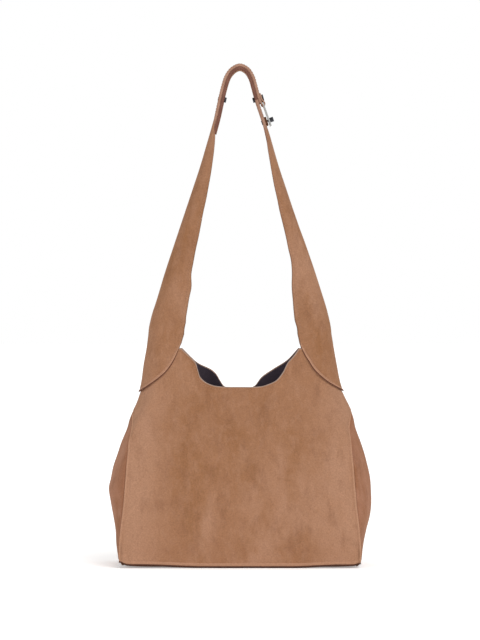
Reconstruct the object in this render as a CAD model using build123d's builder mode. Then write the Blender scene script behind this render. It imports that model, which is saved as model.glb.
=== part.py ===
from build123d import *
import math
import os

os.makedirs("parts", exist_ok=True)

# Suede hobo bag standing on its base, millimetres, +Z up, front towards -Y.
# Origin: middle of the footprint, on the floor.

wallThick = 2.4          # suede with its backing
liningThick = 0.8
seatGap = 0.2            # air between two layers lying on each other
baseThick = 2.6
boardThick = 2.0
beltThick = 4.2          # two suedes glued over a core
beltWidth = 30.0
foldHeight = 350.0       # line over both ears about which the strap folds
foldAngle = 23.5         # slope of the faces either side of the fold
earHeight = 329.0
topOfSkin = 352.0

# Body at rising heights: height, corner x, corner y, side x, middle of the panel y
bodySections = [
    (0, 176.5, 73, 180, 74),
    (35, 177, 75, 184, 78),
    (75, 174.5, 76, 190, 80.5),
    (115, 171, 75, 196, 80),
    (160, 166, 68, 187.5, 72),
    (205, 157, 54, 170.5, 58),
    (240, 137, 42, 159, 43),
    (270, 119, 35, 148, 33),
    (300, 114, 30, 142, 28),
    (330, 111, 26.5, 137.5, 25),
    (360, 108, 24, 133.5, 23),
]

# Seam between panel and gusset, seen from the front: x, height
seamLine = [(174, -5), (174.2, 35), (171.9, 75), (168.3, 115), (163.3, 160), (160, 205), (161.5, 228), (176, 244)]

# Scooped mouth edges, half of each: x, height
frontMouth = [(0, 269.5), (34, 271), (52, 277.5), (60, 288), (66, 304), (78, 318), (92, earHeight)]
backMouth = [(0, 267), (18, 270), (27, 277), (35, 288), (48, 297), (68, 307), (92, earHeight)]

# Rounded lower edge of the strap foot, seen from the front
footEdge = [(90, 328), (95, 310), (102.5, 297), (114.5, 283.5), (131, 271.5), (152, 263.5), (166, 261)]

# Outer line of each strap half: x, height, depth of its channel, half spread of the leg ends
strapStations = [
    (137.5, 343, 46, 27),
    (134.5, 366, 46, 27),
    (126, 398, 45, 26.5),
    (115.5, 430, 40, 26),
    (104.5, 462, 33, 24.5),
    (94, 493, 26, 23),
    (84, 524, 21, 21.5),
    (74, 554, 17, 20),
    (64.5, 584, 12, 18.5),
    (56.5, 608, 5, 16.5),
    (50.7, 627.2, 0.5, 15),
]

# Outer line of the belt over the shoulder, left to right
archPoints = [
    (-51.2, 625.6), (-44.5, 650), (-38, 673), (-32.5, 698), (-28, 717), (-22.5, 733.5), (-13, 745),
    (0, 750.5), (13, 744.5), (21, 733), (26, 717), (30, 702), (33.5, 690),
]

# Slim frame at the end of the left belt, and the knob it hooks under
flapThick = 2.0          # belt end folded back over the bar, skived
frameBarOut = 1.2        # bar centre stands this far off the belt face
frameBarRadius = 1.2
frameLoopRadius = 4.0
frameLength = 34.4
frameWidth = 38.0
frameSide = 3.0
frameThick = 2.0
frameLean = 19.4         # degrees from plumb
knobHeight = 664.0
knobHeadRadius = 3.6
knobNeckRadius = 1.6


def outlineFace(section, inset):
    """One level of the bag: four arcs meeting at the seams."""
    height, cornerX, cornerY, sideX, middleY = section
    x = cornerX - 0.6 * inset
    y = cornerY - inset
    with BuildSketch(Plane.XY.offset(height)) as outline:
        with BuildLine():
            ThreePointArc((-x, -y), (0, inset - middleY), (x, -y))
            ThreePointArc((x, -y), (sideX - inset, 0), (x, y))
            ThreePointArc((x, y), (0, middleY - inset), (-x, y))
            ThreePointArc((-x, y), (inset - sideX, 0), (-x, -y))
        make_face()
    return outline.sketch


def layer(outerInset, innerInset):
    """A skin of the body between two insets, open above and below."""
    with BuildPart() as skin:
        loft([outlineFace(section, outerInset) for section in bodySections])
        loft([outlineFace(section, innerInset) for section in bodySections], mode=Mode.SUBTRACT)
    return skin.part


def block(inset):
    """The body's volume at one inset."""
    with BuildPart() as full:
        loft([outlineFace(section, inset) for section in bodySections])
    return full.part


def slab(low, high):
    """Keeps what lies between two heights."""
    with BuildSketch(Plane.XY.offset(low)) as footprint:
        Rectangle(600, 600)
    extrude(footprint.sketch, amount=high - low, mode=Mode.INTERSECT)


def halfSpace(front):
    """Keeps the front half or the back half."""
    with BuildSketch(Plane.XY.offset(-10)) as footprint:
        with Locations((0, -150 if front else 150)):
            Rectangle(600, 300)
    extrude(footprint.sketch, amount=500, mode=Mode.INTERSECT)


def mouthCut(mouth):
    """Takes away everything above the scooped edge."""
    left = [(-x, z) for x, z in reversed(mouth)]
    with BuildSketch(Plane.XZ) as above:
        with BuildLine():
            Spline(left + mouth[1:])
            Polyline((92, earHeight), (230, earHeight), (230, 400), (-230, 400), (-230, earHeight), (-92, earHeight))
        make_face()
    extrude(above.sketch, amount=200, both=True, mode=Mode.SUBTRACT)


def gussetRegion(side, mode):
    """Everything outside one panel seam, the gusset's share."""
    with BuildSketch(Plane.XZ) as outside:
        with BuildLine():
            Spline([(side * x, z) for x, z in seamLine])
            Polyline((side * 176, 244), (side * 240, 244), (side * 240, -5), (side * 174, -5))
        make_face()
    extrude(outside.sketch, amount=200, both=True, mode=mode)


def panel(skin, mouth, front, low):
    """Front or back piece of a skin, both seams taken off it."""
    with BuildPart() as piece:
        add(skin)
        slab(low, topOfSkin)
        halfSpace(front)
        mouthCut(mouth)
        gussetRegion(1, Mode.SUBTRACT)
        gussetRegion(-1, Mode.SUBTRACT)
    return piece.part


def gusset(skin, side, low):
    """Side piece of a skin, bulging between the two seams."""
    with BuildPart() as piece:
        add(skin)
        slab(low, topOfSkin)
        gussetRegion(side, Mode.INTERSECT)
    return piece.part


def plate(inset, low, high):
    """A flat piece filling the footprint."""
    with BuildPart() as piece:
        add(block(inset))
        slab(low, high)
    return piece.part


def channelSection(x, z, lean, depth, spread, side):
    """Cross-section of the strap: two concentric arcs, open towards the middle of the bag."""
    radius = (spread * spread + depth * depth) / (2 * depth)
    endX = spread - beltThick * spread / radius
    endY = depth + beltThick * (radius - depth) / radius
    section = Plane(origin=(x, 0, z), x_dir=(0, 1, 0), z_dir=(math.sin(lean), 0, math.cos(lean)))
    with BuildSketch(section) as channel:
        with BuildLine():
            ThreePointArc((-spread, side * depth), (0, 0), (spread, side * depth))
            Line((spread, side * depth), (endX, side * endY))
            ThreePointArc((endX, side * endY), (0, side * beltThick), (-endX, side * endY))
            Line((-endX, side * endY), (-spread, side * depth))
        make_face()
    return channel.sketch


def strapLean(index):
    """Angle of the strap's run at one station, from its neighbours."""
    first = strapStations[max(index - 1, 0)]
    last = strapStations[min(index + 1, len(strapStations) - 1)]
    return math.atan2(last[0] - first[0], last[1] - first[1])


def strapChannel(side):
    """The tapering lower part of a strap half."""
    sections = []
    for index, (x, z, depth, spread) in enumerate(strapStations):
        sections.append(channelSection(side * x, z, side * strapLean(index), depth, spread, side))
    loft(sections)


def foldFaces(above, mode):
    """Wedge over the fold line: the strap's share when above, the foot's share when not."""
    slope = math.tan(math.radians(foldAngle))
    sign = 1 if above else -1
    start = foldHeight + sign * 0.4
    with BuildSketch(Plane.YZ) as wedge:
        with BuildLine():
            Polyline(
                (-200, start + sign * 200 * slope),
                (0, start),
                (200, start + sign * 200 * slope),
                (200, start + sign * 900),
                (-200, start + sign * 900),
                close=True,
            )
        make_face()
    extrude(wedge.sketch, amount=300, both=True, mode=mode)


with BuildLine(Plane.XZ) as archLine:
    Spline(archPoints)
arch = archLine.edges()[0]


def runPoint(run, share, inset):
    """A point on a belt's run, inset towards its underside."""
    point = run.position_at(share)
    along = run.tangent_at(share)
    return (point.X + inset * along.Z, point.Z - inset * along.X)


def archPoint(share, inset):
    return runPoint(arch, share, inset)


def beltStrip(points, thick):
    """A flat run of belt across the full belt width, its thickness laid under the given line."""
    with BuildLine(Plane.XZ) as runLine:
        Spline(points)
    run = runLine.edges()[0]
    under = [runPoint(run, step / 30, thick) for step in range(31)]
    with BuildSketch(Plane.XZ) as strip:
        with BuildLine():
            Spline(points)
            Line(points[-1], under[-1])
            Spline(under[::-1])
            Line(under[0], points[0])
        make_face()
    extrude(strip.sketch, amount=beltWidth / 2, both=True)


# --- outer skin ---
wall = layer(0, wallThick)
frontPanel = panel(wall, frontMouth, True, baseThick)
backPanel = panel(wall, backMouth, False, baseThick)
gussetLeft = gusset(wall, -1, baseThick)
gussetRight = gusset(wall, 1, baseThick)
basePanel = plate(0, 0, baseThick)

# --- stiffener in the base ---
boardLow = baseThick + 0.1
baseBoard = plate(wallThick + seatGap, boardLow, boardLow + boardThick)

# --- lining ---
liningLow = boardLow + boardThick + 0.1
liningInset = wallThick + seatGap
lining = layer(liningInset, liningInset + liningThick)
liningBase = plate(liningInset, liningLow, liningLow + liningThick)
liningWallLow = liningLow + liningThick
magnetHeight = 252.0
magnetRadius = 8.0
magnetThick = 4.6


def magnetPlane(side):
    """Seat of a closure magnet on the lining, leaning with the panel."""
    lean = math.radians(18.4)
    return Plane(origin=(0, side * 35.4, magnetHeight), x_dir=(1, 0, 0), z_dir=(0, -side * math.cos(lean), -math.sin(lean)))


def magnetBody(side, mode, grow):
    with BuildSketch(magnetPlane(side).offset(-2.0 - grow)) as disc:
        Circle(magnetRadius + grow)
    extrude(disc.sketch, amount=magnetThick + 2 * grow, mode=mode)


def liningPanel(mouth, front):
    with BuildPart() as piece:
        add(panel(lining, mouth, front, liningWallLow))
        magnetBody(-1 if front else 1, Mode.SUBTRACT, 0.2)
    return piece.part


liningFront = liningPanel(frontMouth, True)
liningBack = liningPanel(backMouth, False)
liningLeft = gusset(lining, -1, liningWallLow)
liningRight = gusset(lining, 1, liningWallLow)


def magnet(side):
    """Disc showing through the lining, its back kept clear of the suede."""
    with BuildPart() as disc:
        magnetBody(side, Mode.ADD, 0)
        add(wall, mode=Mode.SUBTRACT)
    return disc.part


magnetFront = magnet(-1)
magnetBack = magnet(1)

# --- slip pocket on the back lining ---
pocketWidth = 190.0
pocketLow = 95.0
pocketHigh = 215.0
pocketInset = liningInset + liningThick + seatGap
with BuildPart() as pocket:
    add(layer(pocketInset, pocketInset + 1.0))
    slab(pocketLow, pocketHigh)
    with BuildSketch(Plane.XY):
        with Locations((0, 60)):
            Rectangle(pocketWidth, 120)
    extrude(amount=400, mode=Mode.INTERSECT)


# --- strap feet, folded round the top corners of the bag ---
def strapFoot(side):
    with BuildPart() as foot:
        add(layer(-0.15 - 2.4, -0.15))
        with BuildSketch(Plane.XZ):
            with BuildLine():
                Spline([(side * x, z) for x, z in footEdge])
                Polyline((side * 166, 261), (side * 166, 351), (side * 86, 351), (side * 90, 328))
            make_face()
        extrude(amount=200, both=True, mode=Mode.INTERSECT)
        foldFaces(False, Mode.INTERSECT)
    return foot.part


footLeft = strapFoot(-1)
footRight = strapFoot(1)

# --- left strap half, outer belt over the shoulder, looped round the frame bar ---
barRun = arch.tangent_at(1)
barX = arch.position_at(1).X - frameBarOut * barRun.Z
barZ = arch.position_at(1).Z + frameBarOut * barRun.X
outerRun = [archPoint(step / 24, 0) for step in range(25)]
flapRun = [archPoint(0.865 + 0.135 * step / 6, -flapThick) for step in range(7)]

with BuildPart() as strapLeft:
    strapChannel(-1)
    foldFaces(True, Mode.INTERSECT)
    beltStrip(outerRun, beltThick)
    beltStrip(flapRun, flapThick + 0.2)
    with BuildSketch(Plane.XZ):
        with Locations((barX, barZ)):
            Circle(frameLoopRadius)
    extrude(amount=beltWidth / 2, both=True)
    with BuildSketch(Plane.XZ):
        with Locations((barX, barZ)):
            Circle(frameBarRadius + 0.3)
    extrude(amount=beltWidth, both=True, mode=Mode.SUBTRACT)

# --- right strap half, running up under the outer belt to its tail ---
innerRun = [archPoint(0.075 + 0.855 * step / 24, beltThick + 0.1) for step in range(25)]
rightRun = innerRun + [(30.8, 684), (35.4, 671), (40.0, 658), (44.0, 646), (47.7, 635), (51.1, 625.6)]
with BuildPart() as strapRight:
    strapChannel(1)
    foldFaces(True, Mode.INTERSECT)
    beltStrip(rightRun, beltThick)


# --- screw studs through both belts ---
def studParts(centre, outward, grip, innerHead, outerHead, outerRadius):
    """Two heads on a post: grip is the leather between the heads."""
    base = Plane(origin=centre, x_dir=(0, 1, 0), z_dir=outward)
    steps = ((-grip / 2 - innerHead, 3.9, innerHead), (-grip / 2, 1.9, grip), (grip / 2, outerRadius, outerHead))
    for start, radius, length in steps:
        with BuildSketch(base.offset(start)) as disc:
            Circle(radius)
        extrude(disc.sketch, amount=length)


def belt2Centre(share, depth):
    x, z = archPoint(share, depth)
    return (x, 0, z)


def outwardAt(share):
    run = arch.tangent_at(share)
    return (-run.Z, 0, run.X)




def shareAt(height, low, high):
    """Where along the arch its outer line passes a height."""
    for _ in range(40):
        middle = (low + high) / 2
        if (arch.position_at(middle).Z < height) == (arch.position_at(low).Z < height):
            low = middle
        else:
            high = middle
    return low


leftShare = shareAt(698.9, 0.0, 0.5)
rightShare = shareAt(699.2, 0.6, 1.0)
leftGrip = 2 * beltThick + 0.1 + 0.3
rightGrip = leftGrip + flapThick

with BuildPart() as studLeft:
    studParts(belt2Centre(leftShare, beltThick + 0.05), outwardAt(leftShare), leftGrip, 3.4, 0.5, 2.8)
with BuildPart() as studRight:
    studParts(belt2Centre(rightShare, beltThick + 0.05 - flapThick / 2), outwardAt(rightShare), rightGrip, 3.4, 2.4, 5.0)

# --- leather patch and hooking knob on the right strap ---
lean = math.radians(frameLean)
knobOut = (math.cos(lean), 0, math.sin(lean))
knobSeat = Plane(origin=(38.0, 0, knobHeight), x_dir=(0, 1, 0), z_dir=knobOut)
with BuildPart() as knobPatch:
    with BuildSketch(knobSeat.offset(0.25)):
        RectangleRounded(26, 13, 2)
    extrude(amount=2.6)
    add(strapRight.part, mode=Mode.SUBTRACT)
    with BuildSketch(knobSeat.offset(-2)):
        Circle(knobNeckRadius + 0.1)
    extrude(amount=6, mode=Mode.SUBTRACT)

with BuildPart() as catchKnob:
    with BuildSketch(knobSeat.offset(-beltThick - 1.6)):
        Circle(3.4)
    extrude(amount=1.3)
    with BuildSketch(knobSeat.offset(-beltThick - 0.4)):
        Circle(knobNeckRadius)
    extrude(amount=beltThick + 7.2)
    with BuildSketch(knobSeat.offset(6.8)):
        Circle(knobHeadRadius)
    extrude(amount=6.0)

# --- drill the belts for the studs and the knob ---
for strap in (strapLeft, strapRight):
    with strap:
        for share in (leftShare, rightShare):
            with BuildSketch(Plane(origin=belt2Centre(share, 0), x_dir=(0, 1, 0), z_dir=outwardAt(share)).offset(-9)):
                Circle(2.1)
            extrude(amount=14, mode=Mode.SUBTRACT)
with strapRight:
    with BuildSketch(knobSeat.offset(-8)):
        Circle(knobNeckRadius + 0.2)
    extrude(amount=10, mode=Mode.SUBTRACT)

# --- slim frame swinging on its bar ---
framePlane = Plane(origin=(barX, 0, barZ), x_dir=(0, 1, 0), z_dir=knobOut)
with BuildPart() as buckleFrame:
    with BuildSketch(framePlane.offset(-frameThick / 2)):
        with Locations((frameWidth / 2 - frameSide / 2, -frameLength / 2), (frameSide / 2 - frameWidth / 2, -frameLength / 2)):
            Rectangle(frameSide, frameLength)
        with Locations((0, -frameLength)):
            Rectangle(frameWidth, frameSide)
    extrude(amount=frameThick)
    with BuildSketch(Plane.XZ.offset(-frameWidth / 2)):
        with Locations((barX, barZ)):
            Circle(frameBarRadius)
    extrude(amount=frameWidth)

pieces = {
    "front_panel": frontPanel,
    "back_panel": backPanel,
    "gusset_left": gussetLeft,
    "gusset_right": gussetRight,
    "base_panel": basePanel,
    "base_board": baseBoard,
    "lining_front": liningFront,
    "lining_back": liningBack,
    "lining_left": liningLeft,
    "lining_right": liningRight,
    "lining_base": liningBase,
    "slip_pocket": pocket.part,
    "magnet_front": magnetFront,
    "magnet_back": magnetBack,
    "foot_left": footLeft,
    "foot_right": footRight,
    "strap_left": strapLeft.part,
    "strap_right": strapRight.part,
    "stud_left": studLeft.part,
    "stud_right": studRight.part,
    "knob_patch": knobPatch.part,
    "catch_knob": catchKnob.part,
    "buckle_frame": buckleFrame.part,
}
for name, shape in pieces.items():
    shape.label = name
    export_step(shape, f"parts/{name}.step")
    print(name, len(shape.solids()), round(shape.volume), shape.is_valid)
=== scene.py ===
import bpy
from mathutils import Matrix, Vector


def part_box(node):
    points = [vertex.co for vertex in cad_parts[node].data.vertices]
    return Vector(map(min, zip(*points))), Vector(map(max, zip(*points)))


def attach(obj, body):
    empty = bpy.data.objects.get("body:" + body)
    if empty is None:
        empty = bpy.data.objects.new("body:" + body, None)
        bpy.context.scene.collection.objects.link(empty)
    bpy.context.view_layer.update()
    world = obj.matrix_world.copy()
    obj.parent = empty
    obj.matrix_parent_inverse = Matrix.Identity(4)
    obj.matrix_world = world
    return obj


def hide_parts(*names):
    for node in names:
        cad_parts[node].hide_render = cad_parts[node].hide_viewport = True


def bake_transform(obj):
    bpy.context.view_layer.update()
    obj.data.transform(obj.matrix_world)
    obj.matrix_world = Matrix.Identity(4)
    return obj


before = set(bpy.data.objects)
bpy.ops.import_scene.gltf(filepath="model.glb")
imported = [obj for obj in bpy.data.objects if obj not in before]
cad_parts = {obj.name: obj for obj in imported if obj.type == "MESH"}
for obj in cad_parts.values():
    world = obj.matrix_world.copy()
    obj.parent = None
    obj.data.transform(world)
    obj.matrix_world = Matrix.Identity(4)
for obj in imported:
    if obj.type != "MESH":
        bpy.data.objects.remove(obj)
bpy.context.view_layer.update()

import bpy
import bmesh
import math
from mathutils import Vector, noise

print("hobo bag: frame loaded")

# all lengths in metres, front of the bag towards -Y

# body of the bag at rising heights
bagBody = {
    # height, corner x, corner y, left side x, right side x, panel middle y
    "levels": [
        (0.000, 0.1785, 0.0730, 0.1810, 0.1810, 0.0740),
        (0.012, 0.1792, 0.0735, 0.1822, 0.1820, 0.0750),
        (0.035, 0.1790, 0.0750, 0.1855, 0.1850, 0.0780),
        (0.055, 0.1775, 0.0757, 0.1873, 0.1900, 0.0795),
        (0.075, 0.1753, 0.0760, 0.1905, 0.1950, 0.0805),
        (0.095, 0.1730, 0.0758, 0.1942, 0.1972, 0.0805),
        (0.115, 0.1715, 0.0750, 0.1972, 0.1967, 0.0800),
        (0.130, 0.1702, 0.0735, 0.1940, 0.1950, 0.0780),
        (0.148, 0.1688, 0.0710, 0.1903, 0.1905, 0.0750),
        (0.166, 0.1668, 0.0675, 0.1845, 0.1860, 0.0710),
        (0.184, 0.1640, 0.0625, 0.1783, 0.1806, 0.0655),
        (0.205, 0.1570, 0.0540, 0.1690, 0.1734, 0.0580),
        (0.220, 0.1490, 0.0485, 0.1650, 0.1706, 0.0515),
        (0.238, 0.1380, 0.0425, 0.1570, 0.1637, 0.0440),
        (0.254, 0.1280, 0.0385, 0.1510, 0.1560, 0.0380),
        (0.270, 0.1190, 0.0350, 0.1460, 0.1485, 0.0330),
        (0.300, 0.1140, 0.0300, 0.1417, 0.1423, 0.0280),
        (0.330, 0.1110, 0.0265, 0.1365, 0.1370, 0.0250),
        (0.360, 0.1080, 0.0240, 0.1330, 0.1320, 0.0230),
    ],
    # where the gusset seam runs, as a share of the side's half arc
    "seamShare": [
        (0.0, 1.0), (0.172, 1.0), (0.190, 0.93), (0.205, 0.80),
        (0.220, 0.50), (0.230, 0.20), (0.236, 0.0), (0.4, 0.0),
    ],
    "gussetTop": 0.236,
    "earHeight": 0.3245,
    "leastBulge": 0.0015,   # of the side's arc past the corners
    "wall": 0.0022,
}

# the lower edge of panels and gussets, where pairs hold the left and the right side
lowerEdge = {
    "riseFrom": (0.045, 0.075),     # the edge rests inside this distance from the middle
    "riseTo": 0.150,
    "cornerLift": (0.0030, 0.0026),
    "rounding": (0.0060, 0.0035),   # extra rise of the tip
    "tip": (0.163, 0.016),          # where the tip starts, and its width
    "clear": 0.0011,                # the whole edge stands this far off the floor
    "fade": (0.035, 0.020, 0.012),  # heights where lift, clearance and rounding are gone
    "roll": (0.007, 0.8),           # height of the part that rolls under the bag, and its strength
    "side": (0.55, 0.07),           # share of the lift at the side's middle, and where it is whole
}

# mouth edges as (x, height), left ear to right ear
mouthEdge = {
    "front": [
        (-0.0872, 0.3245), (-0.0774, 0.3150), (-0.0663, 0.3035), (-0.0627, 0.2925), (-0.0590, 0.2820),
        (-0.0493, 0.2733), (-0.0330, 0.2682), (0.0, 0.2672), (0.0300, 0.2678), (0.0430, 0.2716),
        (0.0545, 0.2775), (0.0640, 0.2895), (0.0712, 0.3035), (0.0805, 0.3140), (0.0878, 0.3245),
    ],
    "back": [
        (-0.0872, 0.3245), (-0.0680, 0.3055), (-0.0600, 0.3000), (-0.0440, 0.2925), (-0.0360, 0.2855),
        (-0.0297, 0.2750), (-0.0230, 0.2665), (0.0, 0.2625), (0.0205, 0.2665), (0.0330, 0.2812),
        (0.0510, 0.2935), (0.0712, 0.3065), (0.0878, 0.3245),
    ],
}


def ease(t):
    t = min(max(t, 0.0), 1.0)
    return t * t * (3 - 2 * t)

def hump(away, width):
    # smooth rise to one where away is nought
    return math.exp(-((away / width) ** 2))


def alongTable(table, key):
    # smooth run through the rows of a table whose first column is the key
    if key <= table[0][0]:
        return table[0][1:]
    if key >= table[-1][0]:
        return table[-1][1:]
    i = max(k for k in range(len(table) - 1) if table[k][0] <= key)
    low, high = table[i], table[i + 1]
    span = high[0] - low[0]
    t = (key - low[0]) / span
    before = table[i - 1] if i else low
    after = table[i + 2] if i + 2 < len(table) else high
    values = []
    for c in range(1, len(low)):
        slopeLow = (high[c] - before[c]) / (high[0] - before[0])
        slopeHigh = (after[c] - low[c]) / (after[0] - low[0])
        h00, h10 = 2 * t**3 - 3 * t**2 + 1, t**3 - 2 * t**2 + t
        h01, h11 = -2 * t**3 + 3 * t**2, t**3 - t**2
        values.append(h00 * low[c] + h10 * span * slopeLow + h01 * high[c] + h11 * span * slopeHigh)
    return values


def smoothLine(points, count):
    # evenly spaced points on a smooth line through the given ones
    fineSteps = 1200
    keyed = [(0.0,) + tuple(points[0])]
    for a, b in zip(points, points[1:]):
        keyed.append((keyed[-1][0] + math.dist(a[:2], b[:2]),) + tuple(b))
    fine = [alongTable(keyed, keyed[-1][0] * k / fineSteps) for k in range(fineSteps + 1)]
    reach = [0.0]
    for a, b in zip(fine, fine[1:]):
        reach.append(reach[-1] + math.dist(a[:2], b[:2]))
    line, k = [], 0
    for step in range(count):
        goal = reach[-1] * step / (count - 1)
        while k < fineSteps - 1 and reach[k + 1] < goal:
            k += 1
        part = (goal - reach[k]) / max(reach[k + 1] - reach[k], 1e-9)
        line.append([a + (b - a) * min(part, 1.0) for a, b in zip(fine[k], fine[k + 1])])
    return line


def edgeLift(x, z):
    # the panels' lower edge rests in the middle and rises towards its corners
    side = 0 if x < 0 else 1
    start, lift, rounding = (lowerEdge[key][side] for key in ("riseFrom", "cornerLift", "rounding"))
    liftFade, clearFade, tipFade = lowerEdge["fade"]
    tip, tipWidth = lowerEdge["tip"]
    low = lift * ease((abs(x) - start) / (lowerEdge["riseTo"] - start)) * (1 - ease(z / liftFade))
    low += lowerEdge["clear"] * (1 - ease(z / clearFade))
    corner = max(abs(x) - tip, 0.0) / tipWidth
    return low + rounding * corner**2 * (1 - ease(z / tipFade))


def rimLift(x, y, z):
    # the same lift carried round the side, where the gusset sags a little lower
    share, whole = lowerEdge["side"]
    return edgeLift(x, z) * (share + (1 - share) * ease(abs(y) / whole))


def lowerRoll(height):
    # how far the lowest rows sit in as they roll under the bag
    roll, strength = lowerEdge["roll"]
    if height >= roll:
        return 0.0
    return roll * (1 - math.sin(math.acos((roll - height) / roll))) * strength


class Level:
    # one horizontal outline of the bag, walked from the side's outermost point

    def __init__(self, height, right):
        cornerX, cornerY, leftX, rightX, middleY = alongTable(bagBody["levels"], height)
        self.height, self.cornerX, self.cornerY, self.middleY = height, cornerX, cornerY, middleY
        self.sideX = rightX if right else leftX
        bulge = max(self.sideX - cornerX, bagBody["leastBulge"])
        self.radius = (cornerY**2 + bulge**2) / (2 * bulge)
        self.turn = 2 * math.atan2(bulge, cornerY)
        self.arc = self.radius * self.turn
        self.length = self.arc + cornerX
        self.seam = self.arc * max(alongTable(bagBody["seamShare"], height)[0], 0.0)

    def point(self, walk, outwards=0.0):
        # x and y for the front right quarter, y counted as positive, and pushed outwards
        if walk < self.arc:
            turn = walk / self.radius
            x = self.sideX - self.radius * (1 - math.cos(turn))
            y = self.radius * math.sin(turn)
            normal = (math.cos(turn), math.sin(turn))
        else:
            x = self.cornerX - (walk - self.arc)
            rise = self.middleY - self.cornerY
            y = self.cornerY + rise * (1 - (x / self.cornerX) ** 2)
            slope = -2 * rise * x / self.cornerX**2
            size = math.hypot(slope, 1.0)
            normal = (-slope / size, 1 / size)
        return x + normal[0] * outwards, y + normal[1] * outwards


levelStore = {}


def levelAt(height, right):
    key = (round(height, 5), right)
    if key not in levelStore:
        levelStore[key] = Level(height, right)
    return levelStore[key]


def walkTo(height, x):
    # distance from the side's outermost point to where the outline passes |x|
    level = levelAt(height, x > 0)
    reach = abs(x)
    if reach <= level.cornerX:
        return level.arc + level.cornerX - reach
    inside = max(min(1 - (level.sideX - reach) / level.radius, 1.0), -1.0)
    return level.radius * math.acos(inside)


def outlineSpot(height, walk, side, face, outwards=0.0):
    # side -1 left, 1 right; face -1 front, 1 back
    x, y = levelAt(height, side > 0).point(walk, outwards)
    return Vector((side * x, face * y, height))


def meshObject(name, verts, faces, slots, faceSlots=None):
    mesh = bpy.data.meshes.new(name)
    mesh.from_pydata([tuple(v) for v in verts], [], faces)
    for material in slots:
        mesh.materials.append(material)
    if faceSlots:
        mesh.polygons.foreach_set("material_index", faceSlots)
    mesh.polygons.foreach_set("use_smooth", [True] * len(mesh.polygons))
    mesh.update()
    piece = bpy.data.objects.new(name, mesh)
    bpy.context.collection.objects.link(piece)
    return piece


def gridFaces(rows, columns, closed=False, flipped=False):
    faces = []
    for r in range(rows - 1):
        for c in range(columns if closed else columns - 1):
            d = (c + 1) % columns
            face = (r * columns + c, r * columns + d, (r + 1) * columns + d, (r + 1) * columns + c)
            faces.append(face[::-1] if flipped else face)
    return faces


def thicken(piece, thickness, rimSlot, offset=-1.0, group=""):
    # gives a sheet its thickness and leaves plain mesh, the rim in its own material slot
    thick = piece.modifiers.new("thickness", "SOLIDIFY")
    thick.thickness = thickness
    thick.offset = offset
    thick.use_even_offset = False
    thick.material_offset_rim = rimSlot
    thick.vertex_group = group
    graph = bpy.context.evaluated_depsgraph_get()
    mesh = bpy.data.meshes.new_from_object(piece.evaluated_get(graph))
    piece.modifiers.clear()
    old = piece.data
    piece.data = mesh
    bpy.data.meshes.remove(old)


stitch = {
    "length": 0.0029,
    "radius": 0.00042,
    # places from end to end with the thread's girth there
    "girths": ((-1.0, 0.25), (-0.7, 0.85), (0.0, 1.0), (0.7, 0.85), (1.0, 0.25)),
    "sides": 6,
    "sunk": 0.0002,      # its ends dip into the leather
    "pitch": 0.0040,
    "beltPitch": 0.0042,
}


def stitchMesh(piece, path, outward, pitch, slot):
    # a row of short stitches lying on the leather along a path
    sides, halfLength, radius = stitch["sides"], stitch["length"] / 2, stitch["radius"]
    reach = [0.0]
    for a, b in zip(path, path[1:]):
        reach.append(reach[-1] + (b - a).length)
    work = bmesh.new()
    work.from_mesh(piece.data)
    k = 0
    for step in range(int(reach[-1] / pitch)):
        goal = (step + 0.5) * pitch
        while k < len(path) - 2 and reach[k + 1] < goal:
            k += 1
        part = (goal - reach[k]) / max(reach[k + 1] - reach[k], 1e-9)
        centre = path[k].lerp(path[k + 1], part)
        along = (path[k + 1] - path[k]).normalized()
        up = outward[k].lerp(outward[k + 1], part).normalized()
        side = up.cross(along).normalized()
        rings = []
        for end, girth in stitch["girths"]:
            ring = []
            for turn in range(sides):
                angle = math.tau * turn / sides
                spot = centre + along * (end * halfLength) + side * (math.cos(angle) * radius * girth)
                rise = math.sin(angle) * radius * girth - stitch["sunk"] * abs(end)
                ring.append(work.verts.new(spot + up * rise))
            rings.append(ring)
        for low, high in zip(rings, rings[1:]):
            for c in range(sides):
                d = (c + 1) % sides
                face = work.faces.new((low[c], low[d], high[d], high[c]))
                face.material_index, face.smooth = slot, True
        for ring in (rings[0][::-1], rings[-1]):
            work.faces.new(ring).material_index = slot
    bmesh.ops.recalc_face_normals(work, faces=[f for f in work.faces if f.material_index == slot])
    work.to_mesh(piece.data)
    work.free()


def darkRim(piece, rimSlot, darkSlot, height):
    # the cut edge below this height takes a dark finish, painted shade, which on the strap's foot also
    # stands for dark edge paint
    for face in piece.data.polygons:
        if face.material_index == rimSlot and face.center.z < height:
            face.material_index = darkSlot


def steepness(points, k):
    # how much further a straight-down measure runs than a square one, up to a limit
    steepest = 2.1
    a, b = points[max(k - 1, 0)], points[min(k + 1, len(points) - 1)]
    run, rise = abs(b[0] - a[0]), abs(b[1] - a[1])
    return min(math.hypot(run, rise) / max(run, 1e-6), steepest)


def flatArea(piece):
    return sum(p.area for p in piece.data.polygons)


def softNoise(point, scale, seed):
    return noise.noise(Vector((point[0] * scale + seed, point[1] * scale - seed, point[2] * scale)))


def standIn(piece, body, slot, *nodeNames):
    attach(piece, body)
    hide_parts(*nodeNames)


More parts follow.
